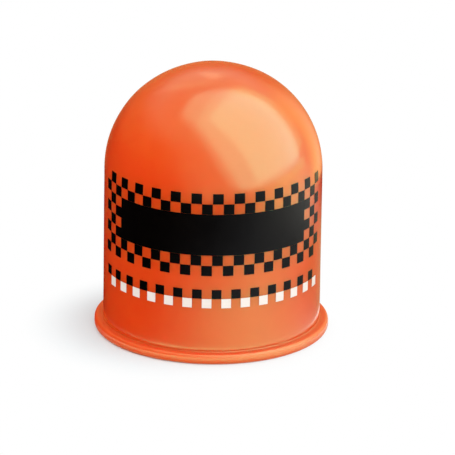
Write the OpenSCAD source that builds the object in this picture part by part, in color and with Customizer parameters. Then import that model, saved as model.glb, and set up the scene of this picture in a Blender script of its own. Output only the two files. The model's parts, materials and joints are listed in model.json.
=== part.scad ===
// Tow ball cover: a soft PVC cap, moulded in one piece. A round wall closed by a dome slips over the
// ball, and a rounded rim stiffens the open end. The whole piece is one profile turned about Z.
// Millimetres, +Z up, origin at the middle of the rim's flat underside.

/* [Socket] */
// Diameter of the tow ball that the cover fits
ball_d = 50; // [45:0.5:60]
// Gap between the ball and the socket's wall, on each side
ball_gap = 0.05; // [0:0.05:0.5]
// Radius that eases the socket's mouth
mouth_round = 1.2; // [0.4:0.1:2]

/* [Body] */
// Height from the rim's underside to the top of the dome
height = 70.2; // [60:0.1:90]
// Thickness of the round wall
wall_t = 3; // [2:0.1:5]
// Thickness of the dome at its top
crown_t = 3; // [2:0.1:5]

/* [Dome] */
// How much smaller the shoulder's radius is than the wall's
shoulder_inset = 0.85; // [0.2:0.05:3]
// Angle above level at which the shoulder's arc gives way to the flatter crown
shoulder_angle = 58; // [35:1:75]

/* [Rim] */
// How far the rim stands out from the wall
rim_overhang = 2.25; // [1:0.05:5]
// Thickness of the rim
rim_t = 2.65; // [2:0.05:6]
// Radius along the rim's upper and lower outer edges
rim_round = 0.7; // [0.2:0.05:1.5]
// Radius of the fillet where the wall meets the rim
root_round = 0.4; // [0.2:0.05:1.5]

/* [Hidden] */
$fn = 180;
socket_r = ball_d / 2 + ball_gap;
body_r = socket_r + wall_t;
rim_r = body_r + rim_overhang;

// The shoulder's arc starts upright at the wall's top, and the crown's arc carries on from its end
// with the same slope, so both centres lie on one line at the shoulder's angle.
shoulder_r = body_r - shoulder_inset;
crown_r = shoulder_r + shoulder_inset / cos(shoulder_angle);
crown_centre = [0, height - crown_r];
shoulder_centre = crown_centre + (crown_r - shoulder_r) * [cos(shoulder_angle), sin(shoulder_angle)];

// The socket ends in half a ball, as thick a skin below the crown as the crown is set to be.
socket_centre = [0, height - crown_t - socket_r];

// The rim's edges can take no more than half its thickness or overhang, and the fillet has the rest.
edge_r = min(rim_round, rim_t / 2.2, rim_overhang / 2);
root_r = min(root_round, rim_overhang - edge_r);
mouth_r = min(mouth_round, wall_t / 2);

// How far a cutting shape runs past the underside that it cuts through
overrun = 1;

// A slice of a disc between two angles, in degrees from level
module sector(centre, r, from, to) {
    reach = 2 * r;
    intersection() {
        translate(centre) circle(r);
        polygon([centre, centre + reach * [cos(from), sin(from)], centre + reach * [cos(to), sin(to)]]);
    }
}

// The space left outside a rounded corner: a square with a quarter disc taken out of it
module corner_waste(corner, r, across, up) {
    difference() {
        translate(corner - [across < 0 ? r : 0, up < 0 ? r : 0]) square(r);
        translate(corner + r * [across, up]) circle(r);
    }
}

// Half section of the wall and the dome, still solid
module body_section() {
    polygon([[0, 0], [body_r, 0], [body_r, shoulder_centre[1]], shoulder_centre, crown_centre]);
    sector(shoulder_centre, shoulder_r, 0, shoulder_angle);
    sector(crown_centre, crown_r, shoulder_angle, 90);
}

// Half section of the rim, with its fillet up to the wall
module rim_section() {
    difference() {
        square([rim_r, rim_t]);
        corner_waste([rim_r, rim_t], edge_r, -1, -1);
        corner_waste([rim_r, 0], edge_r, -1, 1);
    }
    corner_waste([body_r, rim_t], root_r, 1, 1);
}

// Half section of the space that the ball and its neck go into, with the eased mouth
module socket_section() {
    translate([0, -overrun]) square([socket_r, socket_centre[1] + overrun]);
    sector(socket_centre, socket_r, 0, 90);
    corner_waste([socket_r, 0], mouth_r, 1, 1);
}

module cover() {
    color("orangered") rotate_extrude() difference() {
        union() {
            body_section();
            rim_section();
        }
        socket_section();
    }
}

cover();
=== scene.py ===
# A tow ball cover, moulded in one piece from glossy orange soft PVC, with a pad print on its wall.
# It stands on its rim on a white table. A large soft panel lights it from the right.
import json
import math

import bpy
import numpy as np
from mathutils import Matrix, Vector


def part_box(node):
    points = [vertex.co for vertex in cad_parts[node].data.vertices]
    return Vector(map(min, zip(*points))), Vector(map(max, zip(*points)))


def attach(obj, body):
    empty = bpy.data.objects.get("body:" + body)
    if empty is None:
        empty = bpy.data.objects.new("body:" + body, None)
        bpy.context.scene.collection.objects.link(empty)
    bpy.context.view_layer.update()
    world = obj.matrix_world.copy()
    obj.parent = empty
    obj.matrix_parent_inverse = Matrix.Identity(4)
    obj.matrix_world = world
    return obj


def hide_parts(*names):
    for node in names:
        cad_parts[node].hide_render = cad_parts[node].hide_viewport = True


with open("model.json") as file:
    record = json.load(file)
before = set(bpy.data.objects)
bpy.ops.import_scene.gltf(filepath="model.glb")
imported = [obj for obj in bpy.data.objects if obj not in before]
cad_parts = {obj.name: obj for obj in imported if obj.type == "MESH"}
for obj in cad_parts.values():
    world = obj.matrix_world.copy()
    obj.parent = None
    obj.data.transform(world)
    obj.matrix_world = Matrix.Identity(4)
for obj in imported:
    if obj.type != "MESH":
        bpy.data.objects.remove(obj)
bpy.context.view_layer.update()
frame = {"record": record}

# The moulded cover: soft PVC, injected round a steel core that leaves the socket for the ball, so the
# wall, the dome and the rim are one skin. A soft moulding never comes out quite true, and its outside
# wanders by a few hundredths of a millimetre, which bends the reflections a little.
MM = 0.001
QUARTER = math.pi / 2
cover_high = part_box("cover")[1]
HEIGHT = cover_high[2]
RIM_R = cover_high[0]
SOCKET_R = frame["record"]["mounts"][0]["dims"]["r_mm"] * MM
WALL = 3 * MM
CROWN = 3 * MM
BODY_R = SOCKET_R + WALL
RIM_T = 2.65 * MM
RIM_ROUND = 0.9 * MM
ROOT_ROUND = 0.25 * MM
MOUTH_ROUND = 1.2 * MM
SHOULDER_INSET = 0.85 * MM
SHOULDER_ANGLE = math.radians(58)
SHOULDER_R = BODY_R - SHOULDER_INSET
CROWN_R = SHOULDER_R + SHOULDER_INSET / math.cos(SHOULDER_ANGLE)
CROWN_Z = HEIGHT - CROWN_R
SHOULDER_X = SHOULDER_INSET
SHOULDER_Z = CROWN_Z + (CROWN_R - SHOULDER_R) * math.sin(SHOULDER_ANGLE)
SOCKET_Z = HEIGHT - CROWN - SOCKET_R
TURN_STEPS = 288
WAVES_MM = (0.020, 0.012)


def arc(centre_x, centre_z, radius, start, end, steps):
    """Points of an arc in the section: centre + radius (cos a, sin a), a from start to end."""
    a = np.linspace(start, end, steps + 1)
    return np.stack([centre_x + radius * np.cos(a), centre_z + radius * np.sin(a)], 1)


def straight(start, end, steps):
    """Points of a straight line, closer together at both ends: start + (end - start) (1 - cos t) / 2."""
    t = (1 - np.cos(np.linspace(0, math.pi, steps + 1))) / 2
    return np.array(start) + np.outer(t, np.array(end) - np.array(start))


def joined(*runs):
    """The runs one after the other, each without its first point, which the run before ends with."""
    return np.concatenate([runs[0]] + [run[1:] for run in runs[1:]])


def outside_section():
    """The outside of the section, from the rim's top up the wall and over the dome to its top."""
    return joined(
        arc(BODY_R + ROOT_ROUND, RIM_T + ROOT_ROUND, ROOT_ROUND, -QUARTER, -2 * QUARTER, steps=10),
        straight((BODY_R, RIM_T + ROOT_ROUND), (BODY_R, SHOULDER_Z), steps=40),
        arc(SHOULDER_X, SHOULDER_Z, SHOULDER_R, 0, SHOULDER_ANGLE, steps=40),
        arc(0, CROWN_Z, CROWN_R, SHOULDER_ANGLE, QUARTER, steps=24),
    )


def rest_of_section():
    """The rest of the section, from the dome's top inside, down the socket and round the rim."""
    edge_x = RIM_R - RIM_ROUND
    mouth_x = SOCKET_R + MOUTH_ROUND
    return joined(
        arc(0, SOCKET_Z, SOCKET_R, QUARTER, 0, steps=40),
        straight((SOCKET_R, SOCKET_Z), (SOCKET_R, MOUTH_ROUND), steps=12),
        arc(mouth_x, MOUTH_ROUND, MOUTH_ROUND, 2 * QUARTER, 3 * QUARTER, steps=8),
        straight((mouth_x, 0), (edge_x, 0), steps=6),
        arc(edge_x, RIM_ROUND, RIM_ROUND, -QUARTER, 0, steps=10),
        straight((RIM_R, RIM_ROUND), (RIM_R, RIM_T - RIM_ROUND), steps=4),
        arc(edge_x, RIM_T - RIM_ROUND, RIM_ROUND, 0, QUARTER, steps=10),
        straight((edge_x, RIM_T), (BODY_R + ROOT_ROUND, RIM_T), steps=4),
    )


def unevenness(points):
    """How far the outside stands off its true form: sine waves over the points, in radians per mm."""
    x, y, z = points.T / MM
    waves = WAVES_MM[0] * np.sin(0.31 * x + 0.12 * z + 0.6) * np.sin(0.27 * y - 0.21 * z + 1.1)
    waves += WAVES_MM[1] * np.sin(0.52 * x - 0.33 * y + 0.41 * z + 2.0)
    return waves * MM


def turned(section, angles):
    """The section turned about Z: one ring of points (r sin a, -r cos a, z) for each of its points."""
    r, z = section[:, :1], section[:, 1:]
    grid = np.stack([r * np.sin(angles), -r * np.cos(angles), z + 0 * angles], -1)
    return grid.reshape(-1, 3)


def slope_normals(section, angles):
    """Unit normals of the turned section: its tangent, a quarter turn to the right, then about Z."""
    along = np.gradient(section, axis=0)
    along /= np.linalg.norm(along, axis=1, keepdims=True)
    return turned(np.stack([along[:, 1], -along[:, 0]], 1), angles)


def mesh_piece(name, points, faces, material):
    """A smooth-shaded object at the origin, made of these points and faces."""
    mesh = bpy.data.meshes.new(name)
    mesh.from_pydata(points, [], faces)
    mesh.polygons.foreach_set("use_smooth", np.ones(len(faces), bool))
    mesh.materials.append(material)
    mesh.validate()
    piece = bpy.data.objects.new(name, mesh)
    bpy.context.collection.objects.link(piece)
    return piece


def ring_faces(rings, steps, first=0):
    """Four-cornered faces between closed rings, wound so that they face away from the section's left."""
    ring, step = np.meshgrid(np.arange(rings - 1), np.arange(steps), indexing="ij")
    after = (step + 1) % steps
    low, high = first + ring * steps, first + (ring + 1) * steps
    return np.stack([low + step, low + after, high + after, high + step], -1).reshape(-1, 4)


def cover_mesh():
    """The closed skin: both stretches of the section turned about Z, with a single point at each pole."""
    angles = np.linspace(0, 2 * math.pi, TURN_STEPS, endpoint=False)
    outside = outside_section()[:-1]
    inside = rest_of_section()[1:-1]
    outer = turned(outside, angles)
    outer += slope_normals(outside, angles) * unevenness(outer)[:, None]
    poles = [[0, 0, HEIGHT], [0, 0, SOCKET_Z + SOCKET_R]]
    points = np.concatenate([outer, turned(inside, angles), poles])
    start_in = len(outer)
    top, under = len(points) - 2, len(points) - 1
    step = np.arange(TURN_STEPS)
    after = (step + 1) % TURN_STEPS
    last_out, last_in = start_in - TURN_STEPS, top - TURN_STEPS
    cap = np.stack([last_out + step, last_out + after, top + 0 * step], 1)
    ceiling = np.stack([start_in + after, start_in + step, under + 0 * step], 1)
    closing = np.stack([last_in + step, last_in + after, after, step], 1)
    faces = ring_faces(len(outside), TURN_STEPS).tolist()
    faces += ring_faces(len(inside), TURN_STEPS, start_in).tolist()
    return points, faces + closing.tolist() + cap.tolist() + ceiling.tolist()


def linear(colour):
    """The linear RGBA value of an sRGB hex colour such as '#E8501E'."""
    parts = [int(colour[i : i + 2], 16) / 255 for i in (1, 3, 5)]
    return [c / 12.92 if c <= 0.04045 else ((c + 0.055) / 1.055) ** 2.4 for c in parts] + [1]


def node(tree, kind, settings=None, feeds=(), **links):
    """Adds a node. Settings are attributes or socket values by name, feeds are the sockets that go into
    its first inputs, and links are sockets by the name of the input."""
    made = tree.nodes.new(kind)
    for name, value in (settings or {}).items():
        if name in made.inputs:
            made.inputs[name].default_value = value
        else:
            setattr(made, name, value)
    for entry, source in zip(made.inputs, feeds):
        tree.links.new(source, entry)
    for name, source in links.items():
        tree.links.new(source, made.inputs[name.replace("_", " ")])
    return made


def empty_material(name):
    """A new material with no node in its tree yet, and the tree."""
    material = bpy.data.materials.new(name)
    material.use_nodes = True
    material.node_tree.nodes.clear()
    return material, material.node_tree


def noise(tree, place, size, detail, distortion=0.0):
    """Noise from 0 to 1 over a place, with features of about this size."""
    settings = {"Scale": 1 / size, "Detail": detail, "Distortion": distortion}
    return node(tree, "ShaderNodeTexNoise", settings, Vector=place).outputs["Fac"]


def between_colours(tree, first, second, factor):
    """The colour a share of the way from the first sRGB colour to the second."""
    settings = {"data_type": "RGBA", "A": linear(first), "B": linear(second)}
    return node(tree, "ShaderNodeMix", settings, Factor=factor).outputs[2]


# Soft PVC moulded against polished steel: glossy, with a slight mottle where the pigment swirled as it
# flowed, and a faint texture like orange peel. Red light spreads some millimetres inside it and green
# hardly at all, so its shaded side stays a deep, warm orange. What it mirrors is tinted against red, so
# a highlight on the orange turns peach and not pink. The rim is satin, with no hard lines of light.
SATIN_UP_TO = 2.7 * MM
GLOSSY_FROM = 3.4 * MM


def moulded_soft_pvc():
    material, tree = empty_material("moulded_soft_pvc")
    place = node(tree, "ShaderNodeTexCoord").outputs["Object"]
    swirl = noise(tree, place, 9 * MM, 2.0, distortion=0.8)
    colour = between_colours(tree, "#E44412", "#EC4B17", swirl)
    peel = noise(tree, place, 1.1 * MM, 1.0)
    bump = node(tree, "ShaderNodeBump", {"Strength": 0.35, "Distance": 0.006 * MM}, Height=peel)
    handled = noise(tree, place, 14 * MM, 3.0)
    polished = node(tree, "ShaderNodeMapRange", {"To Min": 0.15, "To Max": 0.2}, Value=handled)
    satin = node(
        tree,
        "ShaderNodeMapRange",
        {
            "interpolation_type": "SMOOTHSTEP",
            "From Min": SATIN_UP_TO,
            "From Max": GLOSSY_FROM,
            "To Min": 0.3,
            "To Max": 0.0,
        },
        Value=node(tree, "ShaderNodeSeparateXYZ", Vector=place).outputs["Z"],
    )
    feeds = (polished.outputs["Result"], satin.outputs["Result"])
    roughness = node(tree, "ShaderNodeMath", {"operation": "ADD"}, feeds=feeds)
    surface = node(
        tree,
        "ShaderNodeBsdfPrincipled",
        {
            "IOR": 1.54,
            "Specular IOR Level": 1.0,
            "Specular Tint": linear("#88FFA4"),
            "Subsurface Weight": 1.0,
            "Subsurface Radius": (1.0, 0.22, 0.1),
            "Subsurface Scale": 4 * MM,
        },
        Base_Color=colour,
        Roughness=roughness.outputs["Value"],
        Normal=bump.outputs["Normal"],
    )
    node(tree, "ShaderNodeOutputMaterial", Surface=surface.outputs["BSDF"])
    return material


cover = mesh_piece("cover_moulding", *cover_mesh(), moulded_soft_pvc())
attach(cover, "root")
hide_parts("cover")

# The print: black ink pressed on by a soft pad, in a band of squares round the front of the wall. The
# middle of the band is solid, and it breaks up into squares at its edges and its ends. A chequered strip
# under it has a row of black squares and a row of white ones. The ink lies on the skin as a thin film.
INK_LIFT = 0.03 * MM
INK_THICK = 0.05 * MM
INK_GAP = 0.02 * MM
INK_EDGE = math.radians(30)
BAND_LOW = 23.3 * MM
SQUARE = 2.75 * MM
BAND_ROWS = 8
BAND_COLUMNS = 26
SOLID_ROWS = (2, 6)
SOLID_COLUMNS = (3, 23)
STRIP_LOW = 14.6 * MM
STRIP_SQUARE = 2.5 * MM
STRIP_COLUMNS = 28


def on_skin(angles, heights, lift):
    """Points at each angle and height, lifted off the wall, or off the shoulder's arc above it."""
    over = np.maximum(heights - SHOULDER_Z, 0)
    tilt = over / SHOULDER_R
    flat = np.sqrt(1 - tilt**2)
    r = np.where(over > 0, SHOULDER_X + SHOULDER_R * flat, BODY_R)
    points = np.stack([r * np.sin(angles), -r * np.cos(angles), heights], -1)
    normals = np.stack([flat * np.sin(angles), -flat * np.cos(angles), tilt], -1)
    stand_off = unevenness(points.reshape(-1, 3)).reshape(r.shape) + lift
    return points + normals * stand_off[..., None]


def ink_film(name, patches, across, up, material):
    """Patches of film between angles and heights: a grid outside, one inside, and a wall round them."""
    angle_from, angle_to, low, high = [side[:, None, None] for side in np.array(patches).T]
    s, t = np.meshgrid(np.linspace(0, 1, across + 1), np.linspace(0, 1, up + 1))
    angles, heights = angle_from + (angle_to - angle_from) * s, low + (high - low) * t
    sheets = [on_skin(angles, heights, INK_LIFT), on_skin(angles, heights, INK_LIFT - INK_THICK)]
    points = np.stack([sheet.reshape(len(patches), -1, 3) for sheet in sheets], 1).reshape(-1, 3)
    number = np.arange((across + 1) * (up + 1)).reshape(up + 1, across + 1)
    corners = [number[:-1, :-1], number[:-1, 1:], number[1:, 1:], number[1:, :-1]]
    outer = np.stack(corners, -1).reshape(-1, 4)
    inner = outer[:, ::-1] + number.size
    edge = np.concatenate([number[0, :-1], number[:-1, -1], number[-1, :0:-1], number[:0:-1, 0]])
    after = np.roll(edge, -1)
    wall = np.stack([after, edge, edge + number.size, after + number.size], -1)
    starts = 2 * number.size * np.arange(len(patches))
    faces = starts[:, None, None] + np.concatenate([outer, inner, wall])
    film = mesh_piece(name, points, faces.reshape(-1, 4).tolist(), material)
    film.data.set_sharp_from_angle(angle=INK_EDGE)
    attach(film, "root")
    return film


def square_patch(column, row, columns, size, low, wide=1, tall=1):
    """The angles and heights of a patch on a grid of squares centred on the front of the wall."""
    step = size / BODY_R
    start = (column - columns / 2) * step
    gap = INK_GAP / BODY_R
    bottom = low + row * size
    return start + gap, start + wide * step - gap, bottom + INK_GAP, bottom + tall * size - INK_GAP


def strip_row(row, first_column):
    """Every second square of a row of the chequered strip."""
    columns = range(first_column, STRIP_COLUMNS, 2)
    return [square_patch(column, row, STRIP_COLUMNS, STRIP_SQUARE, STRIP_LOW) for column in columns]


def is_solid(column, row):
    """True for a square that the band's solid middle covers."""
    return SOLID_ROWS[0] <= row < SOLID_ROWS[1] and SOLID_COLUMNS[0] <= column < SOLID_COLUMNS[1]


# Black pad ink, a vinyl ink that dries smooth and thin: deep black, with only a weak grey shine where
# the bright panel is mirrored.
def black_pad_ink():
    material, tree = empty_material("black_pad_ink")
    place = node(tree, "ShaderNodeTexCoord").outputs["Object"]
    flow = noise(tree, place, 3 * MM, 2.0)
    gloss = node(tree, "ShaderNodeMapRange", {"To Min": 0.18, "To Max": 0.24}, Value=flow)
    surface = node(
        tree,
        "ShaderNodeBsdfPrincipled",
        {"IOR": 1.5, "Specular IOR Level": 0.11},
        Base_Color=between_colours(tree, "#020101", "#050302", flow),
        Roughness=gloss.outputs["Result"],
    )
    node(tree, "ShaderNodeOutputMaterial", Surface=surface.outputs["BSDF"])
    return material


# White pad ink: titanium white in the same vinyl, thin enough to let a little of the orange warm it.
def white_pad_ink():
    material, tree = empty_material("white_pad_ink")
    place = node(tree, "ShaderNodeTexCoord").outputs["Object"]
    cover_up = noise(tree, place, 1.5 * MM, 3.0)
    shade = between_colours(tree, "#E9D6CA", "#EFE2DA", cover_up)
    surface = node(tree, "ShaderNodeBsdfPrincipled", {"IOR": 1.5, "Roughness": 0.35}, Base_Color=shade)
    node(tree, "ShaderNodeOutputMaterial", Surface=surface.outputs["BSDF"])
    return material


black_ink = black_pad_ink()
middle = [
    square_patch(
        SOLID_COLUMNS[0],
        SOLID_ROWS[0],
        BAND_COLUMNS,
        SQUARE,
        BAND_LOW,
        wide=SOLID_COLUMNS[1] - SOLID_COLUMNS[0],
        tall=SOLID_ROWS[1] - SOLID_ROWS[0],
    )
]
squares = [
    square_patch(column, row, BAND_COLUMNS, SQUARE, BAND_LOW)
    for row in range(BAND_ROWS)
    for column in range(BAND_COLUMNS)
    if (row + column) % 2 == 0 and not is_solid(column, row)
]
ink_film("print_band", middle, 100, 10, black_ink)
ink_film("print_squares", squares, 5, 5, black_ink)
ink_film("print_black_row", strip_row(1, 0), 5, 5, black_ink)
ink_film("print_white_row", strip_row(0, 1), 5, 5, white_pad_ink())

# The camera: a long lens, far off, looking down a little. The aim is the middle of the cover's axis,
# which the photograph has left of its middle and above it, and leaning by less than a degree.
PHOTO_SIZE = 455
SENSOR = 36
PIXELS_PER_MM = 3.883
AIM_PIXEL = (212.54, 195.21)
CAMERA_EL = math.radians(19.31)
CAMERA_LEAN = math.radians(0.834)
CAMERA_FAR = 1390 * MM

lens = bpy.data.cameras.new("photo_camera")
lens.sensor_width = SENSOR
lens.lens = SENSOR * PIXELS_PER_MM / MM * CAMERA_FAR / PHOTO_SIZE
lens.shift_x = ((PHOTO_SIZE - 1) / 2 - AIM_PIXEL[0]) / PHOTO_SIZE
lens.shift_y = (AIM_PIXEL[1] - (PHOTO_SIZE - 1) / 2) / PHOTO_SIZE
camera = bpy.data.objects.new("photo_camera", lens)
bpy.context.collection.objects.link(camera)
towards_camera = Vector((0, -math.cos(CAMERA_EL), math.sin(CAMERA_EL)))
camera.location = Vector((0, 0, HEIGHT / 2)) + towards_camera * CAMERA_FAR
camera.rotation_euler = (-towards_camera).to_track_quat("-Z", "Y").to_euler()
camera.rotation_euler.rotate_axis("Z", CAMERA_LEAN)
bpy.context.scene.camera = camera

# The table: a wide white sheet. Round the cover it is partly what the lamps make it, so it keeps the
# soft shadow, and further off it turns to plain white, because no lamp there would light it.
TABLE_HALF = 8.0
TABLE_Z = -0.01 * MM
SHADOW_MIDDLE = (-8 * MM, -2 * MM, 0)
SHADOW_R = 21.5 * MM
WHITE_FROM = 42 * MM


def seen_or_mirrored(tree):
    """1 for a ray from the camera, a mirrored one or one let through, and 0 for one that only lights."""
    ray = node(tree, "ShaderNodeLightPath").outputs
    greater = {"operation": "MAXIMUM"}
    seen = node(tree, "ShaderNodeMath", greater, feeds=(ray["Is Camera Ray"], ray["Is Glossy Ray"]))
    feeds = (seen.outputs["Value"], ray["Is Transmission Ray"])
    return node(tree, "ShaderNodeMath", greater, feeds=feeds).outputs["Value"]


def mixed_surface(tree, share, first, second):
    """Makes the surface a mix, which turns from the first shader into the second with the share."""
    both = node(tree, "ShaderNodeMixShader", feeds=(share, first.outputs[0], second.outputs[0]))
    node(tree, "ShaderNodeOutputMaterial", Surface=both.outputs["Shader"])


def white_table():
    material, tree = empty_material("white_paper_table")
    place = node(tree, "ShaderNodeTexCoord").outputs["Object"]
    reach = node(tree, "ShaderNodeVectorMath", {"operation": "DISTANCE"}, feeds=(place,))
    reach.inputs[1].default_value = SHADOW_MIDDLE
    far = node(
        tree,
        "ShaderNodeMapRange",
        {"interpolation_type": "SMOOTHSTEP", "From Min": SHADOW_R, "From Max": WHITE_FROM},
        Value=reach.outputs["Value"],
    )
    feeds = (far.outputs["Result"], seen_or_mirrored(tree))
    plain = node(tree, "ShaderNodeMath", {"operation": "MULTIPLY"}, feeds=feeds)
    paper = node(tree, "ShaderNodeBsdfDiffuse", {"Color": linear("#E5F1F4")})
    white = node(tree, "ShaderNodeEmission", {"Color": linear("#FFFFFF"), "Strength": 1.0})
    mixed_surface(tree, plain.outputs[0], paper, white)
    return material


sides = ((-1, -1), (1, -1), (1, 1), (-1, 1))
corners = [(across * TABLE_HALF, along * TABLE_HALF, TABLE_Z) for across, along in sides]
table = mesh_piece("table", corners, [(0, 1, 2, 3)], white_table())

# Sheets round the cover, seen in reflections alone, where they keep the white room out of them, or glow
# by themselves and put painted bright reflections on them. Otherwise they neither light nor shade
# anything. They fade out at their edges.
SHEET_LEVEL = 0.3 * MM
SHEET_STEPS = 96
STANDING_STEPS = 16
UPRIGHT_H = 190 * MM
UPRIGHT_FADE = 90 * MM
LOW_FELT_H = 100 * MM
LOW_FELT_FADE = 60 * MM
BOARD_R = 140 * MM
LOW_FELT_R = BOARD_R - 3 * MM
CARD_R = BOARD_R - 5 * MM
ROUND_THE_RIM = RIM_R + MM
NEAR_FELT_R = (ROUND_THE_RIM, 85 * MM)
FAR_FELT_R = (70 * MM, 180 * MM)
RIM_PAPER_R = (ROUND_THE_RIM, 35.5 * MM)
RIM_PAPER_SIDE = 32.8 * MM
RIM_PAPER_MORE = 2.7 * MM
RIM_PAPER_TURN = (-95, 125)
OLIVE_R = (ROUND_THE_RIM, 120 * MM)
NEAR_PAPER_R = (ROUND_THE_RIM, 140 * MM)
FAR_PAPER_R = (95 * MM, 700 * MM)
OLIVE_SOLID = 0.9
NEAR_PAPER_SOLID = 0.8
FAR_PAPER_SOLID = 0.7


def comes_in(x, start, width):
    """0 up to the start, 1 from one width past it, and 3 t^2 - 2 t^3 between, t from 0 to 1."""
    t = np.clip((x - start) / width, 0, 1)
    return t * t * (3 - 2 * t)


def goes_out(x, end, width):
    """The same from the other side: 1 up to one width before the end, and 0 from the end on."""
    return comes_in(-x, -end, width)


def faded(name, colour, strength=None):
    """A sheet's material, as solid as its fade attribute says. It glows where it is given a strength."""
    material, tree = empty_material(name)
    fade = node(tree, "ShaderNodeAttribute", {"attribute_name": "fade"})
    gone = node(tree, "ShaderNodeBsdfTransparent")
    if strength is None:
        sheet = node(tree, "ShaderNodeBsdfDiffuse", {"Color": linear(colour)})
    else:
        sheet = node(tree, "ShaderNodeEmission", {"Color": linear(colour), "Strength": strength})
    mixed_surface(tree, fade.outputs["Fac"], gone, sheet)
    return material


def only_in_reflections(piece, solid):
    """Says how solid the piece is at each of its points, and hides it from all but reflections."""
    piece.data.attributes.new("fade", "FLOAT", "POINT").data.foreach_set("value", np.ravel(solid))
    piece.visible_camera = False
    piece.visible_diffuse = False
    piece.visible_transmission = False
    piece.visible_shadow = False


def lying(from_r, to_r, layer, steps):
    """The section of a sheet on the table, so many thin layers above it."""
    return straight((from_r, layer * SHEET_LEVEL), (to_r, layer * SHEET_LEVEL), steps)


def standing(r, height):
    """The section of a sheet that stands on the table at this distance."""
    return straight((r, SHEET_LEVEL), (r, height), STANDING_STEPS)


def bent_sheet(name, section, edge_fade, turn, turn_fades, material):
    """The section turned between two angles. It fades along the section and at both ends of the turn."""
    angles = np.linspace(*turn, SHEET_STEPS)
    rings = len(section)
    ring, step = np.meshgrid(np.arange(rings - 1), np.arange(SHEET_STEPS - 1), indexing="ij")
    near = ring * SHEET_STEPS + step
    far = near + SHEET_STEPS
    faces = np.stack([near, near + 1, far + 1, far], -1).reshape(-1, 4)
    piece = mesh_piece(name, turned(section, np.radians(angles)), faces.tolist(), material)
    along = comes_in(angles, turn[0], turn_fades[0]) * goes_out(angles, turn[1], turn_fades[1])
    only_in_reflections(piece, np.reshape(edge_fade, (rings, -1)) * along)


# Black felt and brown board darken what the left side and the back of the cover mirror. Cream and olive
# sheets do the same at the right in a warm tone, and white sheets in front and at the right brighten the
# lower wall, most of all close to the rim. Those are not paper or cards lit by a lamp: they glow by
# themselves, and what the cover mirrors of them is a painted reflection. The turns and their fades are in
# degrees.
black_felt = faded("black_felt", "#262220")
brown_board = faded("brown_board", "#CC9560")
# Glowing sheets, not lit ones: each paints a bright reflection where lit paper or card would be mirrored.
cream_glow = faded("painted_cream_glow", "#FFDE9C", 2.4)
painted_white_glow = faded("painted_white_glow", "#F6F8FF", 2.5)
olive_glow = faded("painted_olive_glow", "#A99E76", 1.25)
rim_glow = faded("painted_glow_under_the_rim", "#F6FAFF", 4.5)
bright_glow = faded("painted_bright_glow", "#FFFDF2", 3.0)

near_felt = lying(*NEAR_FELT_R, layer=1, steps=24)
bent_sheet("near_felt", near_felt, np.ones(len(near_felt)), (68, 400), (70, 65), black_felt)

far_felt = lying(*FAR_FELT_R, layer=0.5, steps=24)
far_felt_fade = comes_in(far_felt[:, 0], FAR_FELT_R[0], width=15 * MM)
far_felt_fade *= goes_out(far_felt[:, 0], FAR_FELT_R[1], width=20 * MM)
bent_sheet("far_felt", far_felt, far_felt_fade, (95, 415), (60, 60), black_felt)

low_felt = standing(LOW_FELT_R, LOW_FELT_H)
low_felt_fade = goes_out(low_felt[:, 1], LOW_FELT_H, LOW_FELT_FADE)
bent_sheet("standing_felt", low_felt, low_felt_fade, (185, 365), (40, 70), black_felt)

upright = standing(BOARD_R, UPRIGHT_H)
upright_fade = goes_out(upright[:, 1], UPRIGHT_H, UPRIGHT_FADE)
bent_sheet("standing_board", upright, upright_fade, (125, 365), (30, 70), brown_board)
# The standing cream sheet glows by itself: a painted warm reflection at the right.
bent_sheet("standing_cream_glow", standing(CARD_R, UPRIGHT_H), upright_fade, (100, 165), (30, 50), cream_glow)

# This sheet glows by itself and puts a painted bright reflection on the wall's foot. It reaches furthest
# in front, and least at the sides, where the wall's root would mirror it as a bright line: its edge goes
# with the square of the cosine of the azimuth.
rim_paper = lying(*RIM_PAPER_R, layer=3, steps=12)
rim_paper_angles = np.radians(np.linspace(*RIM_PAPER_TURN, SHEET_STEPS))
rim_paper_edge = RIM_PAPER_SIDE + RIM_PAPER_MORE * np.cos(rim_paper_angles) ** 2
rim_paper_fade = goes_out(rim_paper[:, :1], rim_paper_edge, width=MM)
bent_sheet("rim_paper", rim_paper, rim_paper_fade, RIM_PAPER_TURN, (65, 30), rim_glow)

# The olive sheet glows by itself: a painted warm reflection at the right.
olive_sheet = lying(*OLIVE_R, layer=1.5, steps=16)
olive_fade = goes_out(olive_sheet[:, 0], OLIVE_R[1], width=40 * MM) * OLIVE_SOLID
bent_sheet("olive_glow", olive_sheet, olive_fade, (72, 190), (48, 45), olive_glow)

# The near and far white sheets glow by themselves: painted bright reflections on the lower wall.
near_paper = lying(*NEAR_PAPER_R, layer=2, steps=24)
near_paper_fade = goes_out(near_paper[:, 0], NEAR_PAPER_R[1], width=85 * MM) * NEAR_PAPER_SOLID
bent_sheet("near_paper", near_paper, near_paper_fade, (-62, 90), (110, 60), painted_white_glow)

far_paper = lying(*FAR_PAPER_R, layer=3, steps=32)
far_paper_fade = comes_in(far_paper[:, 0], FAR_PAPER_R[0], width=35 * MM)
far_paper_fade *= goes_out(far_paper[:, 0], FAR_PAPER_R[1], width=200 * MM)
far_paper_fade *= FAR_PAPER_SOLID
bent_sheet("far_paper", far_paper, far_paper_fade, (25, 130), (50, 45), bright_glow)

# Two small windows over the back, which the dome mirrors near its top: a wedge, and a thin streak, which
# is given by its middle line and half its width. Both are in millimetres.
WEDGE = [(-20, 86, 126), (3, 80, 132), (11, 67, 141), (-2, 56, 148), (-10, 64, 143)]
STREAK = np.array([(-74, 74, 106), (-61, 62, 124), (-44, 51, 139), (-24, 46, 148), (-11, 51, 148)])
STREAK_SIDE = np.array([0, 4, -1.5])
STREAK_SOLID = [0.0, 0.45, 0.8, 0.9, 0.7]


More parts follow.
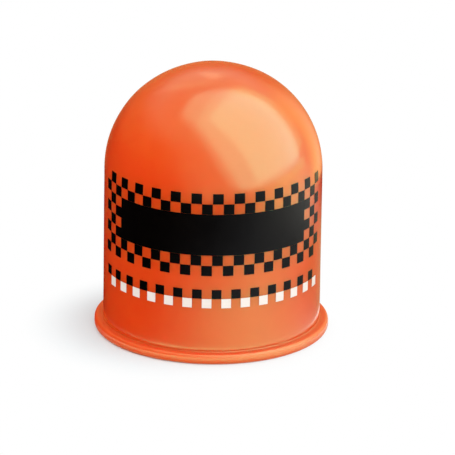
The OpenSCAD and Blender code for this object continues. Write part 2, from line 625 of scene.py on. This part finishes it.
def window_glint(name, corners, solid, material):
    """A flat bright patch with these corners, and how solid it is at each of them."""
    piece = mesh_piece(name, np.array(corners) * MM, [tuple(range(len(corners)))], material)
    only_in_reflections(piece, solid)


window_light = faded("window_light", "#FFF2E8", 2.2)
window_glint("window_wedge", WEDGE, np.ones(len(WEDGE)), window_light)
streak_corners = np.concatenate([STREAK + STREAK_SIDE, (STREAK - STREAK_SIDE)[::-1]])
window_glint("window_streak", streak_corners, STREAK_SOLID + STREAK_SOLID[::-1], window_light)

# The studio: one large flat panel at the right that reaches up over the cover, and weaker lamps at the
# left, in front and at the right. The cover mirrors the panel as a few overlapping parts, which add up.
# Places and sizes on the panel are in distances from the cover to its plane.
PANEL_AZ = math.radians(56)
PANEL_EL = math.radians(35)
PANEL_LEAN = math.radians(8)
PANEL_FAR = 0.35
COOL_LIGHT = (0.4, 1.0, 1.42)
WARM_LIGHT = (0.4, 1.0, 0.7)


def direction(azimuth, elevation):
    """The unit vector to a place round the cover: azimuth from the camera's side towards +X."""
    level = math.cos(elevation)
    return Vector((math.sin(azimuth) * level, -math.cos(azimuth) * level, math.sin(elevation)))


def area_lamp(name, place, facing, width, height, radiance, lean=0.0):
    """A flat lamp that faces along a direction. Its power is its radiance times pi times its area."""
    data = bpy.data.lights.new(name, "AREA")
    data.shape = "RECTANGLE"
    data.size, data.size_y = width, height
    data.energy = radiance * math.pi * width * height
    lamp = bpy.data.objects.new(name, data)
    lamp.location = place
    lamp.rotation_euler = facing.to_track_quat("-Z", "Y").to_euler()
    lamp.rotation_euler.rotate_axis("Z", lean)
    lamp.visible_camera = False
    bpy.context.collection.objects.link(lamp)
    return lamp


def on_panel(name, across, up, width, height, radiance, nearer=0.0):
    """A stretch of the panel: its middle, width and height in distances, turned by the panel's lean."""
    towards = direction(PANEL_AZ, PANEL_EL)
    side = Vector((math.cos(PANEL_AZ), math.sin(PANEL_AZ), 0))
    above = side.cross(towards) * -1
    turned_across = across * math.cos(PANEL_LEAN) - up * math.sin(PANEL_LEAN)
    turned_up = across * math.sin(PANEL_LEAN) + up * math.cos(PANEL_LEAN)
    middle = Vector((0, 0, HEIGHT / 2))
    place = middle + (towards * (1 - nearer) + side * turned_across + above * turned_up) * PANEL_FAR
    return area_lamp(name, place, -towards, width * PANEL_FAR, height * PANEL_FAR, radiance, PANEL_LEAN)


def facing_cover(name, azimuth, elevation, far, width, height, radiance):
    """A lamp at a place round the cover, in degrees and metres, which faces the foot of its axis."""
    towards = direction(math.radians(azimuth), math.radians(elevation))
    return area_lamp(name, towards * far, -towards, width, height, radiance)


def only_mirrored(lamp, colour):
    """Leaves a lamp to be mirrored and to light nothing. Red is weak in it: the orange has plenty."""
    lamp.data.color = colour
    lamp.visible_diffuse = False
    lamp.visible_transmission = False


# On the panel: across, up, width and height, the radiance, and how much nearer than the panel it hangs.
on_panel("diffusing_panel", 0.08, 0.60, 2.40, 2.80, 0.68).visible_glossy = False
only_mirrored(on_panel("panel_glow", 0.05, 1.87, 2.30, 5.25, 0.8, 0.01), COOL_LIGHT)
only_mirrored(on_panel("inner_glow", 0.12, 1.87, 1.88, 5.25, 0.75, 0.015), COOL_LIGHT)
only_mirrored(on_panel("brighter_part", 0.20, 0.52, 1.90, 2.50, 0.75, 0.02), COOL_LIGHT)
only_mirrored(on_panel("bright_middle", 0.28, 0.30, 1.18, 1.80, 1.2, 0.03), COOL_LIGHT)
only_mirrored(on_panel("warm_edge", 1.25, 0.40, 0.80, 2.00, 1.2, 0.04), WARM_LIGHT)
only_mirrored(on_panel("low_corner", 0.85, -1.05, 1.50, 0.60, 1.9, 0.05), WARM_LIGHT)
# Round the cover: azimuth, elevation, distance, width and height, and the radiance.
only_mirrored(facing_cover("ceiling", 165, 45, 0.6, 0.9, 0.5, 0.25), WARM_LIGHT)
facing_cover("white_wall", -75, 45, 0.5, 0.6, 0.6, 1.05).visible_glossy = False
facing_cover("front_fill", 5, 8, 0.6, 0.8, 0.5, 0.66).visible_glossy = False
facing_cover("right_fill", 95, 20, 0.6, 0.6, 0.6, 0.55).visible_glossy = False

# The room: plain white to the camera and in what the cover mirrors, but weaker as a light.
ROOM_RADIANCE = 0.54

world = bpy.data.worlds.new("white_room")
bpy.context.scene.world = world
world.use_nodes = True
room = world.node_tree
room.nodes.clear()
radiance_range = {"To Min": ROOM_RADIANCE, "To Max": 1.0}
strength = node(room, "ShaderNodeMapRange", radiance_range, Value=seen_or_mirrored(room))
white_light = {"Color": linear("#FFFFFF")}
sky = node(room, "ShaderNodeBackground", white_light, Strength=strength.outputs["Result"])
node(room, "ShaderNodeOutputWorld", Surface=sky.outputs["Background"])

bpy.context.scene.view_settings.view_transform = "Standard"
